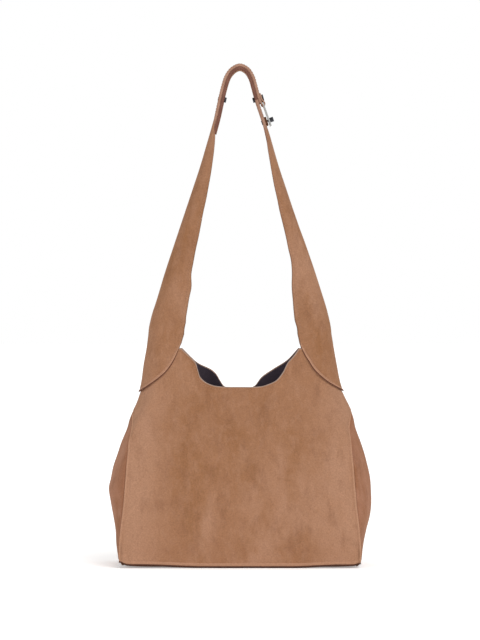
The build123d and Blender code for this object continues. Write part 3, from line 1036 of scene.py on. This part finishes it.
strapFoot = {
    "rows": 24,
    "clear": 0.0029,
    "left": [
        (-0.0906, 0.3262), (-0.0936, 0.3178), (-0.0980, 0.3072), (-0.1045, 0.2965), (-0.1125, 0.2868),
        (-0.1215, 0.2785), (-0.1310, 0.2712), (-0.1400, 0.2650), (-0.1500, 0.2585),
    ],
    "right": [
        (0.0913, 0.3262), (0.0938, 0.3197), (0.0976, 0.3120), (0.1026, 0.3042), (0.1098, 0.2932),
        (0.1203, 0.2818), (0.1335, 0.2714), (0.1538, 0.2600),
    ],
    "topHeight": 0.345,
    "blendRun": 0.045,       # the foot turns into the arm over this height
    "edgeRows": (0.0, 0.0007, 0.0015, 0.0024, 0.0033, 0.0040, 0.0047, 0.0056, 0.0070, 0.0090),
    "paintAndShadowTo": 0.0015,       # dark edge paint with painted shadow, then pale suede as a painted highlight on the raised lip, this far in from the foot's edge
    "palerTo": 0.0047,
    "darkBelow": 0.322,      # the cut edge below this height takes dark edge paint with painted shadow
    # height, distance from the edge and width of the raised lip, its thin rim, the stitched groove
    "lip": (0.0005, 0.0018, 0.0013),
    "thinRim": (-0.0006, 0.0, 0.0006),
    "groove": (-0.0010, 0.0040, 0.0008),
    "crease": (-0.0007, 0.3395, 0.0016),  # faint crease over the bag's ear: depth, height, width
}


def foldProfile(share, depth, spread):
    # a point on the strap's cross-section: distance in from its spine, and distance along Y
    steps = 24
    nose = min(depth, spread)
    turns = [math.pi / (2 * steps) * k for k in range(steps + 1)]
    quarter = [(nose * (1 - math.cos(turn)), spread * math.sin(turn)) for turn in turns]
    if depth > nose:
        quarter.append((depth, spread))
    reach = [0.0]
    for a, b in zip(quarter, quarter[1:]):
        reach.append(reach[-1] + math.dist(a, b))
    goal = abs(share) * reach[-1]
    k = 0
    while k < len(reach) - 2 and reach[k + 1] < goal:
        k += 1
    part = (goal - reach[k]) / (reach[k + 1] - reach[k])
    inwards, across = (quarter[k][i] + (quarter[k + 1][i] - quarter[k][i]) * part for i in (0, 1))
    return inwards, math.copysign(across, share), reach[-1]


def strapRow(x, z, lean, depth, spread, side, shares, slack):
    # lean is the run's angle from plumb, positive towards +X
    inX, inZ = -side * math.cos(lean), side * math.sin(lean)
    _, _, scale, seed = strapHalf["slack"]
    row = []
    for share in shares:
        inwards, across, _ = foldProfile(share, depth, spread)
        wave = slack * softNoise((x, across * 2, z), scale, side * seed)
        wave *= ease((abs(share) - 0.25) / 0.3)
        row.append(Vector((x + inX * inwards, across + math.copysign(wave, share), z + inZ * inwards)))
    return row


def armLine(name):
    # one arm from the foot up: outer line x, height, depth of the fold, half spread of its legs
    first = 2 if name == "left" else 4
    return [(row[first], row[0], row[first + 1], row[1]) for row in strapHalf["arms"]]


def footRows(side, shares, name):
    half = (len(shares) - 1) // 2
    edge = smoothLine(strapFoot[name], half + 1)
    top, cuts = strapFoot["topHeight"], strapFoot["edgeRows"]
    _, _, depth, spread = armLine(name)[1]
    topLength = foldProfile(1.0, depth, spread)[2]
    crease, creaseHeight, creaseWidth = strapFoot["crease"]
    rows = []
    for r in range(len(cuts) + strapFoot["rows"]):
        row = []
        for share in shares:
            away = abs(share)
            along = round((1 - away) * half)
            bx, bz = edge[along][:2]
            steep = steepness(edge, along)
            lowWalk = 0.0 if share == 0 else walkTo(bz, min(abs(bx), levelAt(bz, side > 0).sideX) * side)
            if r < len(cuts):
                rise = cuts[r] * steep
            else:
                start = cuts[-1] * steep
                rise = start + (top - bz - start) * (r - len(cuts) + 1) / strapFoot["rows"]
            z = bz + rise
            walk = lowWalk + (away * topLength - lowWalk) * rise / (top - bz)
            out = crease * hump(z - creaseHeight, creaseWidth) * ease((away - 0.15) / 0.2)
            out += strapFoot["clear"]
            lip = 0.0
            for depth, place, width in (strapFoot["lip"], strapFoot["thinRim"], strapFoot["groove"]):
                lip += depth * hump(rise / steep - place, width)
            out += lip * (1 - ease((away - 0.80) / 0.20))
            row.append(outlineSpot(z, walk, side, 1 if share > 0 else -1, out))
        rows.append(row)
    return rows


def strapLean(line, k):
    a, b = line[max(k - 2, 0)], line[min(k + 2, len(line) - 1)]
    return math.atan2(b[0] - a[0], b[1] - a[1])


def insetLine(points, inset):
    # the same line moved towards the middle of the arch
    moved = []
    for k, (x, z) in enumerate(points):
        a, b = points[max(k - 1, 0)], points[min(k + 1, len(points) - 1)]
        size = math.dist(a, b)
        moved.append((x + inset * (b[1] - a[1]) / size, z - inset * (b[0] - a[0]) / size))
    return moved


def strapLine(name):
    # spine of one half: its arm, then the belt's run, the right one under the left one
    run = strapHalf["shoulder"] + [strapHalf["beltEnd"]]
    if name == "right":
        apart = strapHalf["thick"] + strapHalf["between"]
        under = insetLine([strapHalf["tailEnd"]] + strapHalf["shoulder"], apart)
        run = strapHalf["innerStart"] + under[::-1]
    belt = [(x, z, strapHalf["beltFold"], strapHalf["halfBelt"]) for x, z in run]
    return smoothLine(armLine(name) + belt, strapHalf["stations"])


def buildStrap(name, side):
    columns = strapHalf["columns"]
    half = (columns - 1) // 2
    shares = [(c - half) / half for c in range(columns)]
    line = strapLine(name)
    rows = footRows(side, shares, name)
    footCount = len(rows)
    footTop = rows[-1]
    top, blendRun = strapFoot["topHeight"], strapFoot["blendRun"]
    slack, slackTop, _, _ = strapHalf["slack"]
    armEnd = len(line) // 2
    start = max(k for k in range(armEnd) if line[k][1] <= top + 0.0012)
    for k in range(start + 1, len(line)):
        x, z, depth, spread = line[k]
        wave = slack * ease((slackTop - z) / 0.05) if k < armEnd else 0.0
        row = strapRow(x, z, strapLean(line, k), depth, spread, side, shares, wave)
        if k < armEnd and z < top + blendRun:
            mix = ease((z - top) / blendRun)
            shift = Vector((x - line[start][0], 0, z - top))
            row = [(low + shift).lerp(spot, mix) for low, spot in zip(footTop, row)]
        rows.append(row)
    return rows, gridFaces(len(rows), columns, flipped=side < 0), footCount


def strapHalfPiece(name, side):
    rows, faces, footCount = buildStrap(name, side)
    columns = strapHalf["columns"]
    verts = [spot for row in rows for spot in row]
    paintAndShadow, band, groove = (
        strapFoot["edgeRows"].index(inside)
        for inside in (strapFoot["paintAndShadowTo"], strapFoot["palerTo"], strapFoot["groove"][1])
    )
    body, rim, thread, lighter, dark, pale = range(6)
    # the foot's first rows take dark edge paint with painted shadow, the next ones pale suede as a
    # painted highlight on the raised lip
    slots = []
    for f in range(len(faces)):
        row = f // (columns - 1)
        slots.append(dark if row < paintAndShadow else lighter if row < band else body)
    # the right half's cut edge is painted darker, shade of the inner belt under the arch
    edge = beltEdge if name == "left" else shadedTailEdge
    finishes = [strapSuede, edge, sewingThread, ridgeHighlightSuede, footPaintAndShadow, beltEdge]
    piece = meshObject("strapHalf" + name.capitalize(), verts, faces, finishes, slots)
    weights = piece.vertex_groups.new(name="thickness")
    footShare, (before, over) = strapHalf["footShare"], strapHalf["thickenRows"]
    for r in range(len(rows)):
        weight = footShare + (1 - footShare) * ease((r - footCount + before) / over)
        weights.add(list(range(r * columns, (r + 1) * columns)), weight, "REPLACE")
    thicken(piece, strapHalf["thick"], rim, group="thickness")
    darkRim(piece, rim, dark, strapFoot["darkBelow"])
    for face in piece.data.polygons:
        if face.material_index == rim and face.center.x > strapHalf["darkUpTo"]:
            face.material_index = pale
    facing = gridNormals(verts, columns, groove, -side)
    stitchMesh(piece, rows[groove], facing, stitch["pitch"], thread)
    # two rows of stitches run up the strap just inside the ends of its legs
    inside, (start, end) = strapHalf["sewnColumn"], strapHalf["sewnRows"]
    for column in (inside, columns - 1 - inside):
        sewn = range(footCount + start, len(rows) - end)
        out = []
        for r in sewn:
            across = rows[r][column + 1] - rows[r][column - 1]
            run = rows[r + 1][column] - rows[r - 1][column]
            out.append(across.cross(run).normalized() * -side)
        stitchMesh(piece, [rows[r][column] for r in sewn], out, stitch["beltPitch"], thread)
    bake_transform(piece)
    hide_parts("foot_" + name, "strap_" + name)


strapHalfPiece("left", -1)
strapHalfPiece("right", 1)

# a skived strip at the belt's end runs round the frame's bar and back up the belt
beltLoop = {
    "width": 0.0296,
    "thick": 0.0019,
    "lean": 16.5,       # degrees from plumb
    "bar": 0.0012,      # from the frame's corner to the bar's middle
    "radius": 0.0024,
    "back": 0.010,      # length behind the bar, and of the flap in front
    "flap": 0.0165,
    "rows": 60,
    "columns": 13,
    "trim": 0.35,       # the flap's end narrows by this share
}


def loopPath():
    low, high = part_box("buckle_frame")
    barX, barZ = low[0] + beltLoop["bar"], high[2] - beltLoop["bar"]
    lean, radius = math.radians(beltLoop["lean"]), beltLoop["radius"]
    outX, outZ = math.cos(lean), math.sin(lean)
    # steps as (outwards, downwards) from the bar's middle
    steps = [(-radius, -beltLoop["back"] * (1 - k / 4)) for k in range(5)]
    turns = [math.pi * k / 12 for k in range(1, 13)]
    steps += [(-math.cos(turn) * radius, math.sin(turn) * radius) for turn in turns]
    for k in range(1, 12):
        steps.append((radius - (radius + 0.0001) * ease(k / 5), -beltLoop["flap"] * k / 11))
    return [(barX + outX * a + outZ * b, barZ + outZ * a - outX * b) for a, b in steps]


def buildLoop():
    path = smoothLine(loopPath(), beltLoop["rows"])
    columns = beltLoop["columns"]
    verts = []
    for k, (x, z) in enumerate(path):
        trim = 1 - beltLoop["trim"] * (1 - ease((len(path) - 1 - k) / 5))
        width = beltLoop["width"] * trim
        verts += [Vector((x, (c / (columns - 1) - 0.5) * width, z)) for c in range(columns)]
    piece = meshObject("beltLoop", verts, gridFaces(len(path), columns), [strapSuede, beltEdge])
    thicken(piece, beltLoop["thick"], 1, offset=0.0)
    standIn(piece, "strap", "suede", "strap_left")


buildLoop()

# leather washer under the knob, darkened as painted shade
knobWasher = {
    "width": 0.026,
    "height": 0.013,
    "thick": 0.0026,
    "lean": 19.4,
    "corner": 0.0028,
    # rings from the belt outwards: place in the thickness, share of the width
    "rings": (
        (-0.5, 1.0), (0.25, 1.0), (0.42, 0.975), (0.5, 0.93),
        (0.5, 0.80), (0.42, 0.74), (0.46, 0.68), (0.48, 0.3),
    ),
}


def buildWasher():
    low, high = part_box("knob_patch")
    middle = Vector(((low[0] + high[0]) / 2, 0, (low[2] + high[2]) / 2))
    lean = math.radians(knobWasher["lean"])
    out = Vector((math.cos(lean), 0, math.sin(lean)))
    up = Vector((-math.sin(lean), 0, math.cos(lean)))
    across = Vector((0, 1, 0))
    ring = []
    w, h, r = knobWasher["width"] / 2, knobWasher["height"] / 2, knobWasher["corner"]
    middles = ((w - r, h - r, 0), (r - w, h - r, 90), (r - w, r - h, 180), (w - r, r - h, 270))
    for cx, cy, start in middles:
        for k in range(7):
            turn = math.radians(start + 15 * k)
            ring.append((cx + r * math.cos(turn), cy + r * math.sin(turn)))
    verts = []
    for place, share in knobWasher["rings"]:
        lift = out * (place * knobWasher["thick"])
        verts += [middle + across * a * share + up * b * share + lift for a, b in ring]
    count, rings = len(ring), len(knobWasher["rings"])
    faces = gridFaces(rings, count, closed=True)
    faces.append(tuple(range((rings - 1) * count, rings * count)))
    faces.append(tuple(range(count))[::-1])
    standIn(meshObject("knobWasher", verts, faces, [shadedWasherLeather]), "strap", "suede", "knob_patch")


buildWasher()

# slip pocket on the back lining
slipPocket = {
    "half": 0.095,
    "low": 0.095,
    "high": 0.215,
    "inset": 0.0052,
    "thick": 0.0007,
    "rows": 40,
    "columns": 60,
    "hem": (0.012, 0.0005),   # its height, and how much thicker it is
    "gape": 0.0035,           # how far the mouth stands open
}


def buildPocket():
    rows, columns, half = (slipPocket[key] for key in ("rows", "columns", "half"))
    low, high = slipPocket["low"], slipPocket["high"]
    hemHeight, hemThick = slipPocket["hem"]
    verts = []
    for r in range(rows):
        z = low + (high - low) * r / (rows - 1)
        hem = hemThick if high - z < hemHeight else 0.0
        for c in range(columns):
            x = half * (2 * c / (columns - 1) - 1)
            walk = levelAt(z, x > 0).length - abs(x)
            sewn = min(ease((half - abs(x)) / 0.012), ease((z - low) / 0.010))
            gape = slipPocket["gape"] * sewn * ease((z - 0.12) / 0.09) * math.cos(x / half * 1.3)
            verts.append(outlineSpot(z, walk, 1 if x > 0 else -1, 1, -slipPocket["inset"] - gape - hem))
    piece = meshObject("slipPocket", verts, gridFaces(rows, columns), [liningTwill])
    thicken(piece, slipPocket["thick"], 0, offset=0.0)
    standIn(piece, "bag", "lining", "slip_pocket")


buildPocket()
print("pocket and fittings built")

# hardware keeps its solid shape and gets its metal
fittings = {
    "stud_left": darkMetal, "stud_right": darkMetal, "catch_knob": darkMetal,
    "magnet_front": darkMetal, "magnet_back": darkMetal, "buckle_frame": brightMetal,
}
for nodeName, material in fittings.items():
    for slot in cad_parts[nodeName].material_slots:
        slot.material = material

# pale floor, soft light and the camera
studio = {"distance": 4.5, "height": 0.3667, "lens": 168.75, "floorHalf": 40.0, "air": 0.50}
half = studio["floorHalf"]
paper, tree, shader = newMaterial("studioPaper")
plug(tree, shader, {
    "Base Color": (0.96, 0.955, 0.95, 1),
    "Roughness": 0.9,
    "Specular IOR Level": 0.1,
    "Emission Color": (1, 1, 1, 1),
    "Emission Strength": 0.30,
})
corners = [(-half, -half, 0), (half, -half, 0), (half, half, 0), (-half, half, 0)]
meshObject("studioFloor", corners, [(0, 1, 2, 3)], [paper])

world = bpy.data.worlds.new("studioAir")
bpy.context.scene.world = world
world.use_nodes = True
air = world.node_tree
seen = node(air, "ShaderNodeLightPath").outputs["Is Camera Ray"]
inputs = {"Value": seen, "To Min": studio["air"], "To Max": 1.0}
level = node(air, "ShaderNodeMapRange", inputs).outputs["Result"]
plug(air, air.nodes["Background"], {"Color": (1, 1, 1, 1), "Strength": level})
bpy.context.scene.view_settings.view_transform = "Standard"


def softSun(name, fromSpot, strength, spread):
    data = bpy.data.lights.new(name, "SUN")
    data.energy = strength
    data.angle = math.radians(spread)
    lamp = bpy.data.objects.new(name, data)
    bpy.context.collection.objects.link(lamp)
    lamp.location = fromSpot
    lamp.rotation_euler = (-Vector(fromSpot)).to_track_quat("-Z", "Y").to_euler()


softSun("keyRight", (1.3, -2.3, 2.5), 1.40, 35)
softSun("fillLeft", (-2.4, -2.0, 1.3), 0.45, 45)
softSun("topWash", (0.3, 1.2, 3.0), 0.45, 60)

cameraData = bpy.data.cameras.new("studioCamera")
cameraData.lens = studio["lens"]
cameraData.clip_end = 200
camera = bpy.data.objects.new("studioCamera", cameraData)
bpy.context.collection.objects.link(camera)
camera.location = (0, -studio["distance"], studio["height"])
camera.rotation_euler = (math.radians(90), 0, 0)
bpy.context.scene.camera = camera
print("studio set")
